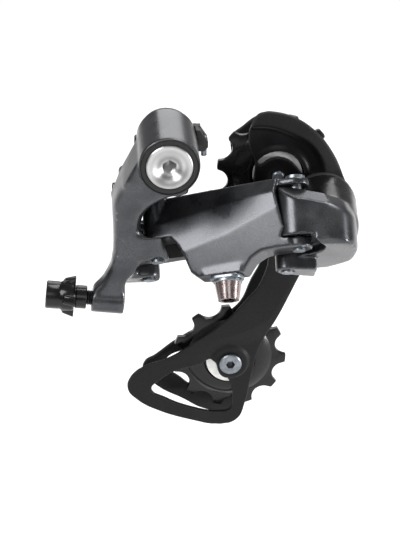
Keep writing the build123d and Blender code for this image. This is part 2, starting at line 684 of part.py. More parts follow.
window = shifted(tension_centre, [(-31.8, -11.4), (-28.6, -7.4), (-21.5, -3.0), (-12.0, -0.6), (-7.0, 1.6),
                                  (-0.6, -7.2),
                                  (1.0, -17.6), (0.2, -22.6), (-3.8, -23.7), (-16.0, -20.5),
                                  (-26.2, -15.8)])
pulley_boss_r = 6.2
crescent_width = 4.0
tension_boss_r = 7.2
with BuildPart() as outer_plate:
    with BuildSketch(facing_out(outer_plate_in_y)):
        with BuildLine():
            Spline(*(hood + around_axle + lower_right + lower_left + arm_left), periodic=True)
        make_face()
        with BuildLine():
            Spline(*window, periodic=True)
        make_face(mode=Mode.SUBTRACT)
        with Locations(tension_centre):
            Circle(tension_boss_r)
    extrude(amount=plate_thickness)
    # crescent above the guide pulley's boss
    with BuildSketch(facing_out(outer_plate_in_y)):
        with Locations(guide_centre):
            Circle(pulley_boss_r + crescent_width)
            Circle(pulley_boss_r, mode=Mode.SUBTRACT)
        with BuildLine():
            Polyline(*shifted(guide_centre, [(0, 0), (10.8, -0.8), (10.8, 11.0), (-8.6, 11.0),
                                             (-8.6, 5.6)]), close=True)
        make_face(mode=Mode.INTERSECT)
    extrude(amount=plate_thickness, mode=Mode.SUBTRACT)
    bore(facing_out(10), cage_axle, cage_axle_r, 40)
    bore(facing_out(10), guide_centre, pulley_bolt_r, 40)
    bore(facing_out(10), tension_centre, pulley_bolt_r, 40)
    bore(facing_out(10), (cage_axle[0] - 15.6, cage_axle[1] + 5.6), 1.6, 40)
save(outer_plate, "outer_plate")

inner_top = shifted(guide_centre, [(-17.0, 12.2), (-12.6, 16.2), (-7.6, 20.0), (-2.0, 21.4), (6.0, 19.6),
                                   (14.0, 13.4), (17.6, 4.0),
                                   (15.6, -8.0), (8.0, -30.0)])
inner_low = shifted(tension_centre, [(18.0, 26.0), (12.0, 6.0), (8.5, -10.0), (5.0, -22.0), (-1.6, -29.0),
                                     (-10.2, -27.6), (-18.9, -22.4),
                                     (-29.0, -16.2), (-34.9, -8.6), (-34.0, -4.6), (-30.0, -2.0),
                                     (-22.5, 4.0), (-8.0, 13.0),
                                     (3.5, 20.2), (8.6, 31.0), (13.0, 42.0)])
inner_left = shifted(guide_centre, [(-6.5, -28.0), (-12.0, -14.0), (-15.4, -1.0), (-17.2, 8.0)])
inner_window = shifted(tension_centre, [(-26.0, -5.4), (-17.0, 0.4), (-11.5, -2.0), (-10.0, -12.0),
                                        (-13.0, -16.5), (-20.0, -12.5)])
with BuildPart() as inner_plate:
    with BuildSketch(facing_out(inner_plate_out_y)):
        with BuildLine():
            Spline(*(inner_top + inner_low + inner_left), periodic=True)
        make_face()
        with BuildLine():
            Spline(*inner_window, periodic=True)
        make_face(mode=Mode.SUBTRACT)
    extrude(amount=plate_thickness)
    bore(facing_out(20), guide_centre, pulley_bolt_r, 40)
    bore(facing_out(20), tension_centre, pulley_bolt_r, 40)
save(inner_plate, "inner_plate")

with BuildPart() as cage_stop_pin:
    disc(facing_out(outer_plate_in_y), (cage_axle[0] - 15.6, cage_axle[1] + 5.6), 1.6,
         outer_plate_in_y + 4.5)
save(cage_stop_pin, "cage_stop_pin")

# guide pulley bolt enters from the inner plate, tension pulley bolt from the outer plate
bolt_head_t = 1.6
with BuildPart() as guide_bolt:
    disc(facing_out(inner_plate_out_y + bolt_head_t), guide_centre, 4.4, bolt_head_t)
    disc(facing_out(inner_plate_out_y), guide_centre, pulley_bolt_r,
         inner_plate_out_y - outer_plate_out_y + 1.4)
    fillet(guide_bolt.edges().group_by(Axis.Y)[0], 1.2)
    with BuildSketch(facing_out(inner_plate_out_y + bolt_head_t)):
        with Locations(guide_centre):
            RegularPolygon(1.5, 6, major_radius=False)
    extrude(amount=3.0, mode=Mode.SUBTRACT)
save(guide_bolt, "guide_bolt")

with BuildPart() as tension_bolt:
    disc(facing_out(outer_plate_out_y), tension_centre, 4.45, bolt_head_t)
    chamfer(tension_bolt.edges().group_by(Axis.Y)[0], 0.4)
    disc(facing_out(inner_plate_out_y + 0.6), tension_centre, pulley_bolt_r,
         inner_plate_out_y - outer_plate_out_y + 0.6)
    with BuildSketch(facing_out(outer_plate_out_y - bolt_head_t)):
        with Locations(tension_centre):
            RegularPolygon(1.6, 6, major_radius=False)
    extrude(amount=-3.2, mode=Mode.SUBTRACT)
save(tension_bolt, "tension_bolt")

hub_r = pulley_bolt_r + 1.5
for name, centre, phase in (("guide", guide_centre, 25.2), ("tension", tension_centre, 12.0)):
    with BuildPart() as pulley:
        with BuildSketch(facing_out(pulley_mid_y + tooth_width / 2)):
            with Locations(centre):
                Circle(pulley_tip_r)
                with PolarLocations(pulley_root_r + 4.85, pulley_teeth, start_angle=phase):
                    Circle(4.85, mode=Mode.SUBTRACT)
        extrude(amount=tooth_width)
        disc(facing_out(pulley_mid_y + pulley_body_width / 2), centre, pulley_root_r - 1.6,
             pulley_body_width)
        with BuildSketch(facing_out(pulley_mid_y + pulley_body_width / 2)):
            with Locations(centre):
                Circle(pulley_root_r - 3.4)
                Circle(dust_cap_r + 0.6, mode=Mode.SUBTRACT)
        extrude(amount=1.0, mode=Mode.SUBTRACT)
        with BuildSketch(facing_out(pulley_mid_y - pulley_body_width / 2)):
            with Locations(centre):
                Circle(pulley_root_r - 3.4)
                Circle(dust_cap_r + 0.6, mode=Mode.SUBTRACT)
        extrude(amount=-1.0, mode=Mode.SUBTRACT)
        bore(facing_out(30), centre, hub_r + running, 60)
    save(pulley, f"{name}_pulley")

    with BuildPart() as bushing:
        disc(facing_out(inner_plate_in_y - dust_cap_thickness), centre, hub_r,
             pulley_gap - 2 * dust_cap_thickness)
        bore(facing_out(30), centre, pulley_bolt_r, 60)
    save(bushing, f"{name}_bushing")

    with BuildPart() as dust_caps:
        disc(facing_out(inner_plate_in_y), centre, dust_cap_r, dust_cap_thickness)
        disc(facing_out(outer_plate_in_y + dust_cap_thickness), centre, dust_cap_r, dust_cap_thickness)
        bore(facing_out(30), centre, pulley_bolt_r, 60)
    save(dust_caps, f"{name}_dust_caps")

# ---- limit screws through the bracket's rear flank -------------------------------------------
for name, height in (("high", high_limit_height), ("low", low_limit_height)):
    with BuildPart() as limit_screw:
        disc(limit_face, (limit_depth, height), limit_screw_r, limit_reach)
        disc(limit_face, (limit_depth, height), limit_head_r, -1.8)
        fillet(limit_screw.edges().group_by(Axis.X)[0], 0.6)
        with BuildSketch(limit_face.offset(-1.8)):
            with Locations((limit_depth, height)):
                Rectangle(3.6, 0.7)
                Rectangle(0.7, 3.6)
        extrude(amount=1.0, mode=Mode.SUBTRACT)
    save(limit_screw, f"{name}_limit_screw")

# ---- cable adjuster --------------------------------------------------------------------------
neck_length = 2.0
collar_end = neck_length + 4.2
wing_end = collar_end + 5.6
knob_end = wing_end + 5.8
adjuster_thread_r = 2.9
housing_socket_r = 2.6
housing_socket_depth = 7.0
thread_end = knob_end - housing_socket_depth - 1.6
with BuildPart() as adjuster_bolt:
    disc(boss_face, (0, 0), adjuster_thread_r, -(cable_boss_length - 3.0))
    disc(boss_face, (0, 0), adjuster_thread_r, thread_end)
    bore(boss_face, (0, 0), cable_hole_r, 60, both=True)
save(adjuster_bolt, "adjuster_bolt")

with BuildPart() as adjuster_knob:
    disc(boss_face.offset(neck_length), (0, 0), 4.5, collar_end - neck_length)
    disc(boss_face.offset(collar_end), (0, 0), 6.6, wing_end - collar_end)
    with BuildSketch(boss_face.offset(collar_end)):
        with PolarLocations(6.0, 4):
            Rectangle(4.4, 4.2)
    extrude(amount=wing_end - collar_end - 0.8)
    disc(boss_face.offset(wing_end), (0, 0), 5.4, knob_end - wing_end)
    bore(boss_face, (0, 0), adjuster_thread_r, thread_end)
    bore(boss_face, (0, 0), cable_hole_r, 60)
    bore(boss_face.offset(knob_end), (0, 0), housing_socket_r, -housing_socket_depth)
save(adjuster_knob, "adjuster_knob")
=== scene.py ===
"""Looks of a rear bicycle derailleur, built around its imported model. Sizes below are in
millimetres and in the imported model's own frame: +X forward, +Y inboard, +Z up."""
import json
import math

import bmesh
import bpy
from bpy.props import FloatProperty, FloatVectorProperty, IntProperty, PointerProperty
from mathutils import Matrix, Vector


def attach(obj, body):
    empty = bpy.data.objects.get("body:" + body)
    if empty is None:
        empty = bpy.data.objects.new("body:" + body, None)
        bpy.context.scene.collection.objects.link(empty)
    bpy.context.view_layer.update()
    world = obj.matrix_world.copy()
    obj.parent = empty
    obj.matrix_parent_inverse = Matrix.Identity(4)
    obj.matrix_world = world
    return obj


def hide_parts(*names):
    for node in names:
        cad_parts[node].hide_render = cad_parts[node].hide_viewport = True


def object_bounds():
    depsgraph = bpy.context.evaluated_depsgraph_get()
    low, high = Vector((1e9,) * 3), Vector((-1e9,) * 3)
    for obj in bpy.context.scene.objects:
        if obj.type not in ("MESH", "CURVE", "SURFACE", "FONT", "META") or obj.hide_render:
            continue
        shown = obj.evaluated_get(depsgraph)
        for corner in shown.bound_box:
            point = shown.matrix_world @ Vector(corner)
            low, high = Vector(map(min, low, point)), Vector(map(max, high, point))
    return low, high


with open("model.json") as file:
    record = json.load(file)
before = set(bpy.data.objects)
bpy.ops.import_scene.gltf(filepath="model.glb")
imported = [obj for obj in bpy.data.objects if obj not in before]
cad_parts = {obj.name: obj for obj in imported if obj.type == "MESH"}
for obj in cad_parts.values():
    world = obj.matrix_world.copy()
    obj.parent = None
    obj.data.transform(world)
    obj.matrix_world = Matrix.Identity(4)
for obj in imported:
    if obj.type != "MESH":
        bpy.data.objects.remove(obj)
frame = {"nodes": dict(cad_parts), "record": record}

bl_info = {
    "name": "Rear Derailleur",
    "version": (1, 0, 0),
    "blender": (4, 5, 0),
    "location": "3D View > Sidebar > Derailleur",
    "description": "Builds the castings, cage, pulleys and fittings of a rear bicycle derailleur",
    "category": "Object",
}

CAD_BOX = [list(corner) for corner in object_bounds()]
MM = 0.001

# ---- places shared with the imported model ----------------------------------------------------
PIN_LEAN = math.radians(42)
LINK_ANGLE = math.radians(-22)
PIN_UP = Vector((0, math.sin(PIN_LEAN), math.cos(PIN_LEAN)))
PIN_IN = Vector((0, math.cos(PIN_LEAN), -math.sin(PIN_LEAN)))
REAR_FOOT = Vector((-4.15, -18.0, -44.8))
LINK_ALONG = Vector((math.cos(LINK_ANGLE), 0, 0)) + PIN_IN * math.sin(LINK_ANGLE)
LINK_OUT = Vector((math.sin(LINK_ANGLE), 0, 0)) - PIN_IN * math.cos(LINK_ANGLE)
LINK_LENGTH = 55.0
OUTER_FRONT = REAR_FOOT + LINK_ALONG * LINK_LENGTH
GUIDE = (42.6, -19.8)
TENSION = (25.1, -101.2)
AXLE = (59.6, -31.0)
PULLEY_MID = 8.0
BOSS_AXIS = Vector((-math.cos(math.radians(7)), 0, math.sin(math.radians(7))))
BOSS_CENTRE = Vector((-23.2, -15.0, -61.5))
BOSS_HALF_LENGTH = 6.2
CLAMP_ALONG, CLAMP_OUT = 27.5, 1.0
CLAMP_PLATE_TOP, CLAMP_WASHER_TOP, CLAMP_WASHER_FOOT = -9.2, -10.8, -12.0

# ---- cage and pulley sizes ------------------------------------------------------------------
PLATE_THICKNESS = 2.0
OUTER_PLATE_BACK = 3.7
INNER_PLATE_BACK = 14.3
PULLEY_BOLT_R = 2.5
AXLE_R = 4.0
STOP_PIN = (AXLE[0] - 15.6, AXLE[1] + 5.6)
STOP_PIN_R = 1.6
CHAIN_PITCH = 12.7
ROOT_INSET = 3.5
TOOTH_HEIGHT = 3.9
ROLLER_SEAT_R = 4.85
TOOTH_HALF_WIDTH = 1.15


def placed(origin, x_axis, y_axis, z_axis):
    """Matrix that takes millimetres on the given axes into the frame's metres."""
    turn = Matrix((x_axis, y_axis, z_axis)).transposed().to_4x4()
    return Matrix.Scale(MM, 4) @ Matrix.Translation(origin) @ turn


def outboard(y, centre=(0, 0)):
    """X across, Z up and the third axis outboard (-Y), round a centre in the X-Z plane."""
    return placed(Vector((centre[0], y, centre[1])), (1, 0, 0), (0, 0, 1), (0, -1, 0))


def up_pins(height, along=0.0, out=0.0):
    """Along the outer link, inboard and then up the link pins."""
    spot = REAR_FOOT + LINK_ALONG * along + LINK_OUT * out + PIN_UP * height
    return placed(spot, tuple(LINK_ALONG), tuple(PIN_UP.cross(LINK_ALONG)), tuple(PIN_UP))


def up_boss(distance):
    """Out along the cable adjuster from the middle of its boss."""
    across = Vector((0, 1, 0))
    return placed(BOSS_CENTRE + BOSS_AXIS * distance, tuple(across), tuple(BOSS_AXIS.cross(across)),
                  tuple(BOSS_AXIS))


# ---- materials ------------------------------------------------------------------------------
def linear(colour):
    """sRGB hex colour as linear RGBA."""
    parts = [int(colour[i:i + 2], 16) / 255 for i in (1, 3, 5)]
    return tuple(c / 12.92 if c <= 0.04045 else ((c + 0.055) / 1.055) ** 2.4 for c in parts) + (1.0,)


def add_node(tree, kind, settings=None, values=None, links=None):
    """Adds a node with its settings, input values and links."""
    node = tree.nodes.new(kind)
    for name, value in (settings or {}).items():
        setattr(node, name, value)
    for name, value in (values or {}).items():
        node.inputs[name].default_value = value
    for name, source in (links or {}).items():
        tree.links.new(source, node.inputs[name])
    return node


def start_material(name, metallic, roughness, coat=0.0, specular=0.5):
    """New node material; returns it with its tree, its shader and object coordinates."""
    material = bpy.data.materials.new(name)
    material.use_nodes = True
    tree = material.node_tree
    tree.nodes.clear()
    shader = add_node(tree, "ShaderNodeBsdfPrincipled", values={"Metallic": metallic, "Roughness": roughness})
    shader.inputs["Coat Weight"].default_value = coat
    shader.inputs["Coat Roughness"].default_value = 0.12
    shader.inputs["Specular IOR Level"].default_value = specular
    add_node(tree, "ShaderNodeOutputMaterial", links={"Surface": shader.outputs["BSDF"]})
    coords = add_node(tree, "ShaderNodeTexCoord").outputs["Object"]
    return material, tree, shader, coords


def speckle(tree, coords, grain_mm, detail=2.0):
    """Noise whose patches are about grain_mm across."""
    return add_node(tree, "ShaderNodeTexNoise", values={"Scale": 1.0 / (grain_mm * MM), "Detail": detail},
                    links={"Vector": coords}).outputs["Fac"]


def between(tree, factor, low, high, from_low=0.35, from_high=0.65):
    """Number running from low, which may be a socket, to high as the factor does between two values."""
    values = {"From Min": from_low, "From Max": from_high, "To Max": high}
    links = {"Value": factor}
    (values if isinstance(low, float) else links)["To Min"] = low
    return add_node(tree, "ShaderNodeMapRange", values=values, links=links).outputs["Result"]


def blend_colours(tree, factor, first, second):
    """Colour mixed from two by a factor; each is a linear colour or a socket."""
    node = add_node(tree, "ShaderNodeMix", settings={"data_type": "RGBA"}, links={0: factor})
    for index, colour in ((6, first), (7, second)):
        if isinstance(colour, tuple):
            node.inputs[index].default_value = colour
        else:
            tree.links.new(colour, node.inputs[index])
    return node.outputs[2]


def give_bump(tree, shader, height, depth_mm, strength=0.5):
    """Fine relief of a depth in millimetres on a shader."""
    bump = add_node(tree, "ShaderNodeBump", values={"Strength": strength, "Distance": depth_mm * MM},
                    links={"Height": height})
    tree.links.new(bump.outputs["Normal"], shader.inputs["Normal"])


def painted(name, colour, worn, metallic, roughness, grain_mm, depth_mm, coat=0.0, specular=0.5):
    """Coated metal or moulded plastic: fine grain, cloudy gloss and lighter rubbed edges."""
    material, tree, shader, coords = start_material(name, metallic, roughness, coat, specular)
    grain = speckle(tree, coords, grain_mm)
    cloud = speckle(tree, coords, 9.0, 3.0)
    edge = add_node(tree, "ShaderNodeNewGeometry").outputs["Pointiness"]
    rubbed = between(tree, edge, 0.0, 0.75, 0.52, 0.60)
    shade = blend_colours(tree, between(tree, grain, 0.0, 1.0, 0.3, 0.7), linear(colour), linear(worn))
    base = blend_colours(tree, between(tree, cloud, 0.0, 0.35), linear(colour), shade)
    tree.links.new(blend_colours(tree, rubbed, base, linear(worn)), shader.inputs["Base Color"])
    tree.links.new(between(tree, cloud, roughness - 0.05, roughness + 0.06), shader.inputs["Roughness"])
    give_bump(tree, shader, grain, depth_mm)
    return material


def plated(name, colour, tint, roughness, metallic=1.0):
    """Plated or bare metal: two close tints in soft patches, small scratches in its gloss."""
    material, tree, shader, coords = start_material(name, metallic, roughness)
    cloud = speckle(tree, coords, 2.5, 3.0)
    grain = speckle(tree, coords, 0.5, 4.0)
    tree.links.new(blend_colours(tree, between(tree, cloud, 0.0, 1.0), linear(colour), linear(tint)),
                   shader.inputs["Base Color"])
    tree.links.new(between(tree, grain, roughness - 0.06, roughness + 0.08), shader.inputs["Roughness"])
    give_bump(tree, shader, grain, 0.004, 0.3)
    return material


def turned_steel():
    """Stainless steel faced on a lathe: rings round the bolt's axis stretch its highlights into a fan."""
    material, tree, shader, coords = start_material("turned_steel", 1.0, 0.42)
    shader.inputs["Anisotropic"].default_value = 0.5
    shader.inputs["Anisotropic Rotation"].default_value = 0.25
    grooves = add_node(tree, "ShaderNodeTangent", settings={"direction_type": "RADIAL", "axis": "Y"})
    tree.links.new(grooves.outputs["Tangent"], shader.inputs["Tangent"])
    rings = add_node(tree, "ShaderNodeTexWave",
                     settings={"wave_type": "RINGS", "rings_direction": "Y", "wave_profile": "SIN"},
                     values={"Scale": 1.0 / (0.4 * MM) / 20, "Distortion": 0.0},
                     links={"Vector": coords}).outputs["Fac"]
    tree.links.new(blend_colours(tree, between(tree, rings, 0.0, 1.0, 0.0, 1.0), linear("#C9C9C8"),
                                 linear("#B2B2B3")),
                   shader.inputs["Base Color"])
    tree.links.new(between(tree, speckle(tree, coords, 0.3), 0.39, 0.45), shader.inputs["Roughness"])
    give_bump(tree, shader, rings, 0.006, 0.2)
    return material


def stamped_plate(colour):
    """Black coated aluminium: matt and lighter where it is flat, glossy where it was pressed, and darker there
    as painted shade in the hood's recess.
    """
    material, tree, shader, coords = start_material("black_coated_plate", 0.0, 0.45, specular=0.14)
    pressed_gloss_and_shade = add_node(tree, "ShaderNodeAttribute", settings={"attribute_name": "pressed_gloss_and_shade"}).outputs["Fac"]
    grain = speckle(tree, coords, 0.6)
    edge = add_node(tree, "ShaderNodeNewGeometry").outputs["Pointiness"]
    flat = blend_colours(tree, between(tree, grain, 0.0, 0.5, 0.3, 0.7), linear(colour), linear("#262627"))
    # painted shade: inside the hood's crease the colour is darkened towards #0E0E0F
    base = blend_colours(tree, pressed_gloss_and_shade, flat, linear("#0E0E0F"))
    tree.links.new(blend_colours(tree, between(tree, edge, 0.0, 0.6, 0.52, 0.60), base, linear("#4A4A4B")),
                   shader.inputs["Base Color"])
    cloud = between(tree, speckle(tree, coords, 9.0, 3.0), 0.42, 0.5)
    tree.links.new(between(tree, pressed_gloss_and_shade, cloud, 0.26, 0.0, 1.0), shader.inputs["Roughness"])
    give_bump(tree, shader, grain, 0.015)
    return material


def floor_paper():
    """Seamless studio paper: matt, almost white, with faint fibres."""
    material, tree, shader, coords = start_material("studio_paper", 0.0, 0.9)
    fibres = speckle(tree, coords, 2.0, 4.0)
    tree.links.new(blend_colours(tree, fibres, linear("#F4F4F4"), linear("#FAFAFA")),
                   shader.inputs["Base Color"])
    give_bump(tree, shader, fibres, 0.05, 0.1)
    return material


MATERIALS = {}


def finish_of(slot):
    """The material that stands for one of the record's slots, made once."""
    colours = bpy.context.scene.derailleur_colours
    if slot not in MATERIALS:
        make = {
            # die-cast aluminium under satin metallic paint: soft broad highlights with a dark grey body
            "satin_grey_alloy": lambda: painted("satin_metallic_paint", hex_of(colours.body), "#77787B", 0.85,
                                                0.3, 0.35, 0.006, coat=0.15),
            # stamped aluminium with a black coating: matt bands round glossy pressed fields darkened as painted
            # shade, rubbed rims
            "black_plate": lambda: stamped_plate(hex_of(colours.plate)),
            # moulded black resin: deep black with a soft gloss
            "black_resin": lambda: painted("moulded_black_resin", hex_of(colours.resin), "#1A1A1B", 0.0, 0.22,
                                           0.8, 0.008, coat=0.1, specular=0.3),
            "turned_steel": turned_steel,
            # zinc plated steel: mid grey with a cold blue cast
            "zinc_steel": lambda: plated("zinc_plated_steel", "#8D9297", "#757A80", 0.38),
            # nickel plate over copper: soft light grey with a pink cast
            "clamp_alloy": lambda: plated("pink_nickel_plate", "#A89B99", "#8F8280", 0.22),
            # steel blackened by oxide: dark metal with an oily gloss
            "adjuster_steel": lambda: plated("blackened_steel", "#4A4A4C", "#39393B", 0.34),
            # oiled spring wire: grey drawn metal
            "spring_steel": lambda: plated("oiled_spring_wire", "#6E6E70", "#5A5A5C", 0.32),
            # moulded rubber: dull black
            "seal_rubber": lambda: painted("seal_rubber", "#101011", "#262627", 0.0, 0.6, 0.5, 0.03),
            # sintered bronze: dull yellow metal with open pores
            "sintered_bronze": lambda: plated("sintered_bronze", "#9A7B4C", "#7E6238", 0.45),
            # pressed steel cap: rolled sheet whose colour is lifted to near white, with little metal gloss, as
            # painted light so it reads as brightly lit
            "pressed_steel": lambda: plated("cap_steel_painted_bright", "#E4E4E2", "#D2D2D0", 0.42, 0.35),
        }[slot]
        MATERIALS[slot] = make()
    return MATERIALS[slot]


def hex_of(colour):
    """A colour property, held in linear light, as an sRGB hex string."""
    parts = [c * 12.92 if c <= 0.0031308 else 1.055 * c ** (1 / 2.4) - 0.055 for c in colour[:3]]
    return "#" + "".join("%02X" % max(0, min(255, round(c * 255))) for c in parts)


# ---- mesh helpers ---------------------------------------------------------------------------
def flat_shell(outline, low, high, place, bevel=0.0, segments=2):
    """Slab with a drawn outline between two heights, its edges rounded by a bevel."""
    bm = bmesh.new()
    face = bm.faces.new([bm.verts.new((x, y, low)) for x, y in outline])
    grown = bmesh.ops.extrude_face_region(bm, geom=[face])
    lifted = [v for v in grown["geom"] if isinstance(v, bmesh.types.BMVert)]
    bmesh.ops.translate(bm, verts=lifted, vec=(0, 0, high - low))
    if bevel:
        bmesh.ops.bevel(bm, geom=bm.edges[:], offset=bevel, affect="EDGES", segments=segments, profile=0.5,
                        material=-1)
    bmesh.ops.transform(bm, matrix=place, verts=bm.verts)
    return bm


def turned_shell(profile, place, steps=72):
    """Closed solid of revolution: profile gives (radius, height), and the third axis is its axis."""
    bm = bmesh.new()
    verts = [bm.verts.new((radius, 0, height)) for radius, height in profile]
    edges = [bm.edges.new(pair) for pair in zip(verts, verts[1:] + verts[:1])
             if pair[0].co.x + pair[1].co.x > 1e-6]
    bmesh.ops.spin(bm, geom=verts + edges, cent=(0, 0, 0), axis=(0, 0, 1), dvec=(0, 0, 0), angle=math.tau,
                   steps=steps, use_merge=True, use_duplicate=False)
    bmesh.ops.transform(bm, matrix=place, verts=bm.verts)
    return bm


def cad_shell(node):
    """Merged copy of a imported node's mesh."""
    bm = bmesh.new()
    bm.from_mesh(bpy.data.objects[frame["nodes"][node].name].data)
    bmesh.ops.remove_doubles(bm, verts=bm.verts, dist=0.002 * MM)
    return bm


def joined(shells):
    """Several shells in one mesh."""
    whole = bmesh.new()
    for shell in shells:
        part = bpy.data.meshes.new("part")
        shell.to_mesh(part)
        shell.free()
        whole.from_mesh(part)
        bpy.data.meshes.remove(part)
    return whole


def finished_copy(holder):
    """Bmesh of an object with its modifiers or curve settings worked in; the object goes."""
    result = bpy.data.meshes.new_from_object(holder.evaluated_get(bpy.context.evaluated_depsgraph_get()))
    bpy.data.objects.remove(holder)
    bm = bmesh.new()
    bm.from_mesh(result)
    bpy.data.meshes.remove(result)
    return bm


def drawn_plate(outlines, thickness, rounding, place):
    """Stamped plate from smooth closed outlines; the first is its rim and the rest are windows."""
    curve = bpy.data.curves.new("outline", "CURVE")
    curve.dimensions = "2D"
    curve.fill_mode = "BOTH"
    curve.resolution_u = 10
    curve.extrude = thickness / 2 - rounding
    curve.bevel_depth = rounding
    curve.bevel_resolution = 2
    curve.offset = -rounding
    for outline in outlines:
        line = curve.splines.new("BEZIER")
        line.bezier_points.add(len(outline) - 1)
        for point, (x, y) in zip(line.bezier_points, outline):
            point.co = (x, y, 0)
            point.handle_left_type = point.handle_right_type = "AUTO"
        line.use_cyclic_u = True
    holder = bpy.data.objects.new("outline", curve)
    bpy.context.collection.objects.link(holder)
    bm = finished_copy(holder)
    bmesh.ops.remove_doubles(bm, verts=bm.verts, dist=0.002)
    bmesh.ops.translate(bm, verts=bm.verts, vec=(0, 0, thickness / 2))
    bmesh.ops.transform(bm, matrix=place, verts=bm.verts)
    return bm


def round_outline(centre, radius, steps=24):
    """Points of a round hole's outline."""
    return [(centre[0] + radius * math.cos(math.tau * i / steps),
             centre[1] + radius * math.sin(math.tau * i / steps))
            for i in range(steps)]


def cut_by(bm, tool):
    """A shell with another shell cut out of it."""
    holders = []
    for shell in (bm, tool):
        bmesh.ops.recalc_face_normals(shell, faces=shell.faces)
        mesh = bpy.data.meshes.new("cut")
        shell.to_mesh(mesh)
        shell.free()
        holder = bpy.data.objects.new("cut", mesh)
        bpy.context.collection.objects.link(holder)
        holders.append(holder)
    saw = holders[0].modifiers.new("saw", "BOOLEAN")
    saw.operation, saw.solver, saw.object = "DIFFERENCE", "EXACT", holders[1]
    result = finished_copy(holders[0])
    bpy.data.objects.remove(holders[1])
    return result


def cast_together(bm, grain):
    """One skin round overlapping shells, as a casting has, on a grid of this many millimetres."""
    mesh = bpy.data.meshes.new("mould")
    bm.to_mesh(mesh)
    bm.free()
    holder = bpy.data.objects.new("mould", mesh)
    bpy.context.collection.objects.link(holder)
    skin = holder.modifiers.new("skin", "REMESH")
    skin.mode = "VOXEL"
    skin.voxel_size = grain * MM
    return finished_copy(holder)


def soften(bm, passes, inside=None):
    """Rounds edges by smoothing the vertices that a test on their place in millimetres picks."""
    verts = [v for v in bm.verts if inside is None or inside(v.co / MM)]
    for _ in range(passes):
        bmesh.ops.smooth_vert(bm, verts=verts, factor=0.5, use_axis_x=True, use_axis_y=True, use_axis_z=True)


def keep_piece(bm, name, body, slot, stands_for=(), tidy=True, sharp=40):
    """Turns a bmesh into a finished piece that rides on a body."""
    if tidy:
        bmesh.ops.remove_doubles(bm, verts=bm.verts, dist=0.001 * MM)
        bmesh.ops.recalc_face_normals(bm, faces=bm.faces)
    mesh = bpy.data.meshes.new(name)
    bm.to_mesh(mesh)
    bm.free()
    mesh.shade_smooth()
    mesh.set_sharp_from_angle(angle=math.radians(sharp))
    piece = bpy.data.objects.new(name, mesh)
    bpy.context.collection.objects.link(piece)
    mesh.materials.append(finish_of(slot))
    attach(piece, body)
    if stands_for:
        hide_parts(*stands_for)
    return piece


# ---- sizes and colours a user would change --------------------------------------------------
class DerailleurSizes(bpy.types.PropertyGroup):
    """Sizes of the castings' and pulleys' surface detail."""
    casting_grain: FloatProperty(name="Casting grain", description="Grid of the cast skins, in millimetres",
                                 default=0.42, min=0.3, max=1.5)
    plate_grain: FloatProperty(name="Plate grain",
                               description="Grid of the stamped outer plate, in millimetres", default=0.45,
                               min=0.3, max=1.5)
    tooth_count: IntProperty(name="Teeth", description="Teeth on each pulley", default=11, min=9, max=13)
    tooth_bevel: FloatProperty(name="Tooth bevel", description="Rounding of the pulley teeth, in millimetres",
                               default=0.25, min=0.05, max=0.5)
    thread_pitch: FloatProperty(name="Thread pitch", description="Pitch of the mounting thread, in millimetres",
                                default=1.0, min=0.5, max=2.0)


class DerailleurColours(bpy.types.PropertyGroup):
    """Colours of the coated parts."""
    body: FloatVectorProperty(name="Body paint", description="Metallic paint of the castings", subtype="COLOR",
                              size=4, default=linear("#3F4043"), min=0, max=1)
    plate: FloatVectorProperty(name="Cage coating", description="Coating of the cage plates", subtype="COLOR",
                               size=4, default=linear("#171718"), min=0, max=1)
    resin: FloatVectorProperty(name="Resin", description="Moulded pulleys and adjuster", subtype="COLOR",
                               size=4, default=linear("#0D0D0E"), min=0, max=1)


# ---- operators ------------------------------------------------------------------------------
def on_web(clear, top, bottom):
    """Test for a spot on the bracket's web, clear of the barrel's round face and between two heights."""
    return lambda p: bottom < p.z < top and math.hypot(p.x, p.z) > clear and p.x < 3 and p.y < -10


class BuildBracket(bpy.types.Operator):
    """Cast bracket round the mounting barrel, with rounded edges"""
    bl_idname = "derailleur.bracket"
    bl_label = "Bracket casting"

    def execute(self, context):
        sizes = context.scene.derailleur_sizes
        bm = cast_together(cad_shell("bracket_body"), sizes.casting_grain)
        soften(bm, 2)
        soften(bm, 60, on_web(11.3, -7, -58))
        soften(bm, 220, on_web(11.4, -9, -43))
        soften(bm, 10)
        keep_piece(bm, "bracket_casting", "bracket", "satin_grey_alloy", ("bracket_body",), tidy=False,
                   sharp=60)
        return {"FINISHED"}


class BuildOuterLink(bpy.types.Operator):
    """Faceted outer link"""
    bl_idname = "derailleur.outer_link"
    bl_label = "Outer link"

    def execute(self, context):
        sizes = context.scene.derailleur_sizes
        bm = cast_together(cad_shell("outer_link"), sizes.casting_grain)
        soften(bm, 7)
        keep_piece(bm, "outer_link_casting", "outer_link", "satin_grey_alloy", ("outer_link",), tidy=False,
                   sharp=60)
        return {"FINISHED"}


class BuildKnuckle(bpy.types.Operator):
    """Front knuckle that holds the cage's sprung pivot, and the black cover over its spring"""
    bl_idname = "derailleur.knuckle"
    bl_label = "Front knuckle"

    def execute(self, context):
        sizes = context.scene.derailleur_sizes
        casting = cast_together(cad_shell("front_knuckle"), sizes.casting_grain)
        soften(casting, 7)
        soften(casting, 40, lambda p: p.y < -8 and p.x > 57)
        cover = casting.copy()
        spot = (OUTER_FRONT + PIN_IN * -3.0 + PIN_UP * 20.2) * MM
        lean = (Vector((0.25, 0, 0)) + PIN_IN * -0.15 + PIN_UP).normalized()
        for bm, side in ((casting, "clear_outer"), (cover, "clear_inner")):
            parts = bm.verts[:] + bm.edges[:] + bm.faces[:]
            bmesh.ops.bisect_plane(bm, geom=parts, plane_co=spot, plane_no=lean, **{side: True})
            bmesh.ops.holes_fill(bm, edges=[e for e in bm.edges if e.is_boundary], sides=0)
        keep_piece(casting, "front_knuckle_casting", "knuckle", "satin_grey_alloy", ("front_knuckle",),
                   sharp=50)
        keep_piece(cover, "knuckle_spring_cover", "knuckle", "black_resin", sharp=50)
        return {"FINISHED"}


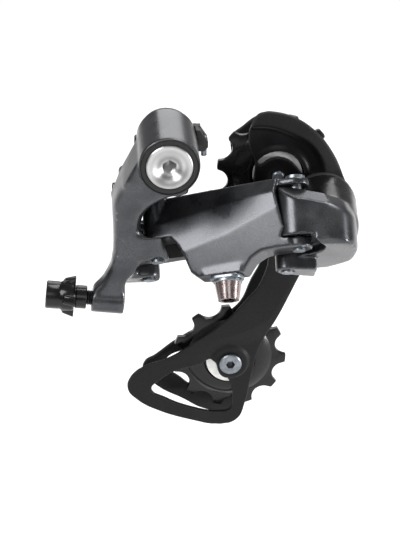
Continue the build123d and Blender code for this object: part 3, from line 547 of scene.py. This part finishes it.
HOOD = [(-9.0, 6.4), (-11.4, 14.0), (-10.4, 20.6), (-8.2, 24.4), (-5.0, 25.6), (-1.2, 25.4), (5.8, 23.2),
        (14.2, 17.4), (20.6, 9.2)]
ROUND_AXLE = [(8.2, 10.4), (11.2, 0.5), (9.6, -9.2), (3.2, -16.8), (-2.8, -24.0)]
LOWER_RIGHT = [(18.8, 19.9), (11.9, 6.0), (8.8, -7.2), (6.4, -19.6), (2.9, -27.8)]
LOWER_LEFT = [(-3.7, -29.8), (-16.0, -26.5), (-29.1, -21.6), (-37.4, -16.4), (-41.5, -10.8), (-40.0, -5.4),
              (-34.4, -0.8), (-25.1, 2.5), (-14.1, 9.6), (-2.2, 18.6), (5.0, 26.6), (12.1, 36.6)]
ARM_LEFT = [(-3.0, -30.0), (-7.4, -16.0), (-9.4, -5.0)]
WINDOW = [(-31.8, -11.4), (-28.6, -7.4), (-21.5, -3.0), (-12.0, -0.6), (-7.4, 1.2), (-4.0, -5.6), (-1.0, -8.0),
          (0.6, -12.6), (1.0, -17.6), (0.2, -22.6), (-3.8, -23.7), (-16.0, -20.5), (-26.2, -15.8)]
INNER_TOP = [(-17.0, 12.2), (-12.6, 16.2), (-7.6, 20.0), (-2.0, 21.4), (6.0, 19.6), (14.0, 13.4), (17.6, 4.0),
             (15.6, -8.0), (8.0, -30.0)]
INNER_LOW = [(18.0, 26.0), (12.0, 6.0), (8.5, -10.0), (5.0, -22.0), (-1.6, -29.0), (-10.2, -27.6),
             (-18.9, -22.4), (-29.0, -16.2), (-34.9, -8.6), (-34.0, -4.6), (-30.0, -2.0), (-22.5, 4.0),
             (-8.0, 13.0), (3.5, 20.2), (8.6, 31.0), (13.0, 42.0)]
INNER_LEFT = [(-6.5, -28.0), (-12.0, -14.0), (-15.4, -1.0), (-17.2, 8.0)]
INNER_WINDOW = [(-26.0, -5.4), (-17.0, 0.4), (-11.5, -2.0), (-10.0, -12.0), (-13.0, -16.5), (-20.0, -12.5)]
ARM_CREASE = [(50.4, -50.0), (48.9, -62.9), (47.8, -68.0), (42.7, -78.3), (39.5, -82.7), (32.9, -86.3),
              (22.9, -89.7), (12.9, -94.0), (4.0, -99.0)]


def round_centre(centre, offsets):
    """Outline points given as offsets from a centre."""
    return [(centre[0] + x, centre[1] + z) for x, z in offsets]


def past_crease(x, z):
    """How far a spot lies to the right of the arm's crease, in millimetres; below zero on its left."""
    best = 1e9
    for (x0, z0), (x1, z1) in zip(ARM_CREASE, ARM_CREASE[1:]):
        dx, dz = x1 - x0, z1 - z0
        share = max(0.0, min(1.0, ((x - x0) * dx + (z - z0) * dz) / (dx * dx + dz * dz)))
        away = math.hypot(x - x0 - share * dx, z - z0 - share * dz)
        if away < abs(best):
            best = away if (x - x0) * dz - (z - z0) * dx < 0 else -away
    return best


def ease(value, low, high):
    """Smooth step from 0 at low to 1 at high."""
    share = max(0.0, min(1.0, (value - low) / (high - low)))
    return share * share * (3 - 2 * share)


def hood_crease(turn):
    """Distance from the guide pulley's axis to the crease in the hood at an angle in degrees."""
    return 18.2 + 5.5 * max(0.0, (turn - 70) / 48) ** 1.3


def crescent_outline():
    """Slot over the guide pulley's cap, round at its left end and running out to a point at its right."""
    outer = [(turn, 10.1) for turn in range(-4, 136, 6)]
    cap = [(139 + 6 * math.cos(math.radians(a)), 8.9 + 1.2 * math.sin(math.radians(a)))
           for a in range(80, -100, -20)]
    inner = [(turn, 7.7 + 2.1 * max(0.0, (34 - turn) / 38) ** 1.5) for turn in range(134, -4, -6)]
    return [(r * math.cos(math.radians(turn)), r * math.sin(math.radians(turn)))
            for turn, r in outer + cap + inner]


def press_relief(p):
    """How far the outer plate's stamping moves a spot inboard, in millimetres."""
    shift = 0.0
    dx, dz = p.x - GUIDE[0], p.z - GUIDE[1]
    reach, turn = math.hypot(dx, dz), math.degrees(math.atan2(dz, dx))
    if -12 < turn < 150:
        crease = hood_crease(turn)
        sector = ease(turn, -6, 8) * (1 - ease(turn, 108, 150))
        shift += sector * (0.95 * (1 - ease(reach, crease - 2.2, crease)) * ease(reach, 10.8, 13.0)
                           + 0.26 * max(0.0, reach - crease))
    if p.z < -48:
        fade = ease(-p.z, 48, 62) * ease(math.hypot(p.x - TENSION[0], p.z - TENSION[1]), 7.2, 7.7)
        shift += fade * min(1.3, 0.2 * max(0.0, past_crease(p.x, p.z))) * ease(p.x, 8.0, 22.0)
    return shift


def press_gloss_and_shade(p):
    """How much the outer plate was smoothed by its stamping at a spot, which also sets how far its colour is
    darkened as painted shade: 1 inside the hood's crease.
    """
    dx, dz = p.x - GUIDE[0], p.z - GUIDE[1]
    crease = hood_crease(math.degrees(math.atan2(dz, dx)))
    return (1 - ease(math.hypot(dx, dz), crease - 0.6, crease + 0.4)) if p.y < 3.6 else 0.0


class BuildCagePlates(bpy.types.Operator):
    """Stamped outer and inner plates of the pulley cage"""
    bl_idname = "derailleur.cage_plates"
    bl_label = "Cage plates"

    def execute(self, context):
        sizes = context.scene.derailleur_sizes
        rim = (round_centre(GUIDE, HOOD) + round_centre(AXLE, ROUND_AXLE) + round_centre(TENSION, LOWER_RIGHT)
               + round_centre(TENSION, LOWER_LEFT) + round_centre(GUIDE, ARM_LEFT))
        windows = [round_centre(TENSION, WINDOW), round_outline(AXLE, AXLE_R),
                   round_outline(GUIDE, PULLEY_BOLT_R), round_outline(TENSION, PULLEY_BOLT_R),
                   round_outline(STOP_PIN, STOP_PIN_R)]
        outer = drawn_plate([rim] + windows, PLATE_THICKNESS, 0.25, outboard(OUTER_PLATE_BACK))
        slot = flat_shell(round_centre(GUIDE, crescent_outline()), -1.0, PLATE_THICKNESS + 1.0,
                          outboard(OUTER_PLATE_BACK))
        outer = cast_together(cut_by(outer, slot), sizes.plate_grain)
        # the pressed mask gives the hood's recess its gloss and its painted shade
        pressed_gloss_and_shade = outer.verts.layers.float.new("pressed_gloss_and_shade")
        for vert in outer.verts:
            vert[pressed_gloss_and_shade] = press_gloss_and_shade(vert.co / MM)
            vert.co.y += press_relief(vert.co / MM) * MM
        soften(outer, 2)
        keep_piece(outer, "outer_cage_plate", "cage", "black_plate", ("outer_plate",), tidy=False, sharp=40)
        rim = (round_centre(GUIDE, INNER_TOP) + round_centre(TENSION, INNER_LOW)
               + round_centre(GUIDE, INNER_LEFT))
        windows = [round_centre(TENSION, INNER_WINDOW), round_outline(GUIDE, PULLEY_BOLT_R),
                   round_outline(TENSION, PULLEY_BOLT_R)]
        inner = drawn_plate([rim] + windows, PLATE_THICKNESS, 0.3, outboard(INNER_PLATE_BACK))
        keep_piece(inner, "inner_cage_plate", "cage", "black_plate", ("inner_plate",), tidy=False, sharp=30)
        return {"FINISHED"}


class BuildPulleys(bpy.types.Operator):
    """Toothed guide and tension pulleys"""
    bl_idname = "derailleur.pulleys"
    bl_label = "Pulleys"

    def execute(self, context):
        sizes = context.scene.derailleur_sizes
        teeth = sizes.tooth_count
        root = CHAIN_PITCH / (2 * math.sin(math.pi / teeth)) - ROOT_INSET
        tip, seat = root + TOOTH_HEIGHT, ROLLER_SEAT_R
        for name, centre, phase, body in (("guide", GUIDE, 25.2, "guide_wheel"),
                                          ("tension", TENSION, 12.0, "tension_wheel")):
            rim = bmesh.new()
            bmesh.ops.create_circle(rim, cap_ends=True, segments=teeth * 24, radius=1.0)
            for vert in rim.verts:
                turn = math.atan2(vert.co.y, vert.co.x)
                pitch = math.tau / teeth
                off = (turn - math.radians(phase) + pitch / 2) % pitch - pitch / 2
                across = seat ** 2 - ((root + seat) * math.sin(off)) ** 2
                reach = min(tip, (root + seat) * math.cos(off) - math.sqrt(across)) if across > 0 else tip
                vert.co = Vector((math.cos(turn) * reach, math.sin(turn) * reach, -TOOTH_HALF_WIDTH))
            grown = bmesh.ops.extrude_face_region(rim, geom=rim.faces[:])
            lifted = [v for v in grown["geom"] if isinstance(v, bmesh.types.BMVert)]
            bmesh.ops.translate(rim, vec=(0, 0, 2 * TOOTH_HALF_WIDTH), verts=lifted)
            rims = [e for e in rim.edges if len(e.link_faces) == 2 and e.calc_face_angle(0) > 1.2
                    and abs(e.verts[0].co.z - e.verts[1].co.z) < 0.1]
            bmesh.ops.bevel(rim, geom=rims, offset=sizes.tooth_bevel, affect="EDGES", segments=2, profile=0.5,
                            material=-1)
            bmesh.ops.transform(rim, matrix=outboard(PULLEY_MID, centre), verts=rim.verts)
            side = [(4.05, 3.2), (9.6, 3.2), (9.9, 2.0), (10.2, 2.0), (10.5, 3.25), (11.2, 3.4)]
            side += [(11.2 + step, 3.4 - 0.06 * step ** 2) for step in (0.9, 1.8, 2.7, 3.6, 4.4, 5.2, 6.0)]
            profile = side + [(r, -h) for r, h in reversed(side)]
            wheel = turned_shell(profile, outboard(PULLEY_MID, centre), 96)
            keep_piece(joined([rim, wheel]), name + "_wheel_body", body, "black_resin", (name + "_pulley",),
                       sharp=35)
        return {"FINISHED"}


class BuildMountingBolt(bpy.types.Operator):
    """Mounting bolt with a faced head and a cut thread, and a metal ring at the barrel's front rim as a painted
    highlight
    """
    bl_idname = "derailleur.mounting_bolt"
    bl_label = "Mounting bolt"

    def execute(self, context):
        sizes = context.scene.derailleur_sizes
        head = cad_shell("mounting_bolt")
        bmesh.ops.bisect_plane(head, geom=head.verts[:] + head.edges[:] + head.faces[:],
                               plane_co=(0, -0.4 * MM, 0), plane_no=(0, 1, 0), clear_outer=True)
        bmesh.ops.holes_fill(head, edges=[e for e in head.edges if e.is_boundary], sides=0)
        thread = [(0.0, 0.5), (3.9, 0.5), (4.0, -0.1)]
        turns = int(7.4 / sizes.thread_pitch)
        for turn in range(turns):
            foot = 0.25 + turn * sizes.thread_pitch
            thread += [(4.45, -foot), (5.0, -foot - sizes.thread_pitch * 0.42),
                       (5.0, -foot - sizes.thread_pitch * 0.58)]
        thread += [(4.45, -0.25 - turns * sizes.thread_pitch), (4.3, -8.5), (0.0, -8.5)]
        shank = turned_shell(thread, outboard(0), 64)
        bmesh.ops.remove_doubles(shank, verts=shank.verts, dist=0.001 * MM)
        bmesh.ops.recalc_face_normals(shank, faces=shank.faces)
        keep_piece(joined([head, shank]), "mounting_bolt_turned", "mount", "turned_steel", ("mounting_bolt",),
                   tidy=False, sharp=30)
        # painted highlight: a thin metal ring, set off from the paint, stands in for the light line of the
        # barrel's chamfered front edge
        rim = turned_shell([(10.46, 33.0), (10.75, 33.0), (10.85, 32.9), (10.85, 32.6), (10.46, 32.6)],
                           outboard(0), 96)
        keep_piece(rim, "barrel_rim_painted_highlight", "bracket", "adjuster_steel", sharp=30)
        return {"FINISHED"}


class BuildAdjuster(bpy.types.Operator):
    """Winged barrel adjuster and its threaded sleeve"""
    bl_idname = "derailleur.adjuster"
    bl_label = "Cable adjuster"

    def execute(self, context):
        place = up_boss(BOSS_HALF_LENGTH)
        barrel = turned_shell([(2.95, 2.0), (4.2, 2.0), (4.45, 2.3), (4.45, 5.9), (4.2, 6.2), (4.2, 6.5),
                               (5.4, 6.8), (5.9, 7.4), (5.9, 10.8), (5.3, 11.8), (5.2, 12.4), (5.3, 12.6),
                               (5.3, 17.0), (4.9, 17.4), (2.6, 17.4), (2.6, 10.4), (0.9, 10.4), (0.9, 8.8),
                               (2.95, 8.8)], place, 64)
        wings = []
        for corner in range(4):
            wing = flat_shell([(4.0, -2.3), (7.6, -1.9), (8.0, -1.0), (8.0, 1.0), (7.6, 1.9), (4.0, 2.3)], 6.5,
                              11.9, Matrix.Rotation(math.tau * corner / 4 + math.radians(12), 4, "Z"))
            for vert in wing.verts:
                if vert.co.z > 9 and vert.co.xy.length > 6:
                    vert.co.xy *= 0.84
                    vert.co.z -= 1.2
            bmesh.ops.bevel(wing, geom=wing.edges[:], offset=0.35, affect="EDGES", segments=2, profile=0.5,
                            material=-1)
            bmesh.ops.transform(wing, matrix=place, verts=wing.verts)
            wings.append(wing)
        keep_piece(joined([barrel] + wings), "adjuster_winged_knob", "adjuster", "black_resin",
                   ("adjuster_knob",), sharp=35)
        sleeve = [(0.9, -9.0), (2.5, -9.0)]
        for turn in range(13):
            foot = -8.8 + turn * 0.8
            sleeve += [(2.55, foot), (2.88, foot + 0.35), (2.88, foot + 0.5)]
        sleeve += [(2.55, 1.9), (2.9, 2.1), (2.9, 8.7), (0.9, 8.7)]
        keep_piece(turned_shell(sleeve, place, 48), "adjuster_threaded_sleeve", "adjuster", "adjuster_steel",
                   ("adjuster_bolt",), sharp=30)
        return {"FINISHED"}


class BuildCableClamp(bpy.types.Operator):
    """Rounded clamp plate and its washer under the outer link"""
    bl_idname = "derailleur.cable_clamp"
    bl_label = "Cable clamp"

    def execute(self, context):
        corners = [(2.5, 1.2, 0), (-2.9, 1.2, 90), (-2.9, -1.0, 180), (2.5, -1.0, 270)]
        outline = [(x + 3.4 * math.cos(math.radians(start + 15 * i)),
                    y + 3.4 * math.sin(math.radians(start + 15 * i)))
                   for x, y, start in corners for i in range(7)]
        place = up_pins(0, CLAMP_ALONG, CLAMP_OUT)
        plate = flat_shell(outline, CLAMP_WASHER_TOP, CLAMP_PLATE_TOP, place, 0.4, 3)
        keep_piece(plate, "clamp_plate_pressed", "outer_link", "zinc_steel", ("clamp_plate",), sharp=35)
        top, foot = CLAMP_WASHER_TOP, CLAMP_WASHER_FOOT
        profile = [(2.55, foot), (5.15, foot), (5.35, -11.8), (5.35, -11.0), (5.15, top), (2.55, top)]
        washer = turned_shell(profile, place, 72)
        keep_piece(washer, "clamp_washer_rounded", "outer_link", "zinc_steel", ("clamp_washer",), sharp=35)
        return {"FINISHED"}


class BuildFrameFinishes(bpy.types.Operator):
    """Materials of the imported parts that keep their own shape"""
    bl_idname = "derailleur.frame_finishes"
    bl_label = "Pins, screws and small parts"

    def execute(self, context):
        for entry in frame["record"]["subparts"]:
            part = frame["nodes"][entry["node"]]
            part.data.materials.clear()
            part.data.materials.append(finish_of(entry["material_slot"]))
        return {"FINISHED"}


class BuildStage(bpy.types.Operator):
    """Pale floor, soft lights and the camera"""
    bl_idname = "derailleur.stage"
    bl_label = "Stage"

    def execute(self, context):
        scene = context.scene
        low = CAD_BOX[0][2]
        bm = bmesh.new()
        bmesh.ops.create_grid(bm, x_segments=8, y_segments=8, size=4.0)
        # the floor lies well below the cage, which swings lower than it hangs at rest
        bmesh.ops.translate(bm, verts=bm.verts, vec=(0, 0, low - 60 * MM))
        mesh = bpy.data.meshes.new("studio_floor")
        bm.to_mesh(mesh)
        bm.free()
        floor = bpy.data.objects.new("studio_floor", mesh)
        context.collection.objects.link(floor)
        mesh.materials.append(floor_paper())

        target = Vector((12.184, -10.0, -51.501)) * MM
        around, rise = math.radians(-3.5), math.radians(27)
        back = Vector((math.sin(around) * math.cos(rise), -math.cos(around) * math.cos(rise), math.sin(rise)))
        lens = bpy.data.cameras.new("camera")
        lens.lens, lens.sensor_width = 109.51, 36.0
        lens.clip_start, lens.clip_end = 0.01, 20
        camera = bpy.data.objects.new("camera", lens)
        camera.location = target + back * 0.62
        camera.rotation_euler = (-back).to_track_quat("-Z", "Y").to_euler()
        context.collection.objects.link(camera)
        scene.camera = camera

        for name, spot, size, power in (("key", (-0.50, -0.34, 0.54), 0.42, 5.4),
                                        ("barrel", (0.10, 0.80, 0.50), 0.60, 2.8),
                                        ("front", (0.10, -0.95, 0.55), 0.4, 1.0),
                                        ("top", (0.45, 0.25, 1.0), 0.6, 9.0),
                                        ("right", (0.85, -0.1, 0.25), 0.3, 1.2),
                                        ("low", (0.85, -0.36, 0.02), 0.24, 6.0)):
            light = bpy.data.lights.new(name, "AREA")
            light.shape, light.size, light.energy = "SQUARE", size, power
            lamp = bpy.data.objects.new(name, light)
            lamp.location = target + Vector(spot)
            lamp.rotation_euler = (-Vector(spot)).to_track_quat("-Z", "Y").to_euler()
            context.collection.objects.link(lamp)

        world = bpy.data.worlds.new("studio")
        world.use_nodes = True
        sky = world.node_tree.nodes["Background"]
        sky.inputs["Color"].default_value = (1, 1, 1, 1)
        sky.inputs["Strength"].default_value = 0.24
        scene.world = world
        scene.view_settings.view_transform = "Standard"
        return {"FINISHED"}


class DerailleurPanel(bpy.types.Panel):
    """Sizes, colours and build steps of the derailleur"""
    bl_idname = "VIEW3D_PT_derailleur"
    bl_label = "Derailleur"
    bl_space_type = "VIEW_3D"
    bl_region_type = "UI"
    bl_category = "Derailleur"

    def draw(self, context):
        for group in (context.scene.derailleur_sizes, context.scene.derailleur_colours):
            for name in group.__annotations__:
                self.layout.prop(group, name)
        for step in STEPS:
            self.layout.operator(step.bl_idname)


STEPS = (BuildFrameFinishes, BuildBracket, BuildOuterLink, BuildKnuckle, BuildCagePlates, BuildPulleys,
         BuildMountingBolt, BuildAdjuster, BuildCableClamp, BuildStage)
CLASSES = (DerailleurSizes, DerailleurColours) + STEPS + (DerailleurPanel,)


def register():
    for cls in CLASSES:
        bpy.utils.register_class(cls)
    bpy.types.Scene.derailleur_sizes = PointerProperty(type=DerailleurSizes)
    bpy.types.Scene.derailleur_colours = PointerProperty(type=DerailleurColours)


def unregister():
    del bpy.types.Scene.derailleur_colours
    del bpy.types.Scene.derailleur_sizes
    for cls in reversed(CLASSES):
        bpy.utils.unregister_class(cls)


def main():
    register()
    for step in STEPS:
        getattr(bpy.ops.derailleur, step.bl_idname.split(".")[1])()


if __name__ == "__main__":
    main()
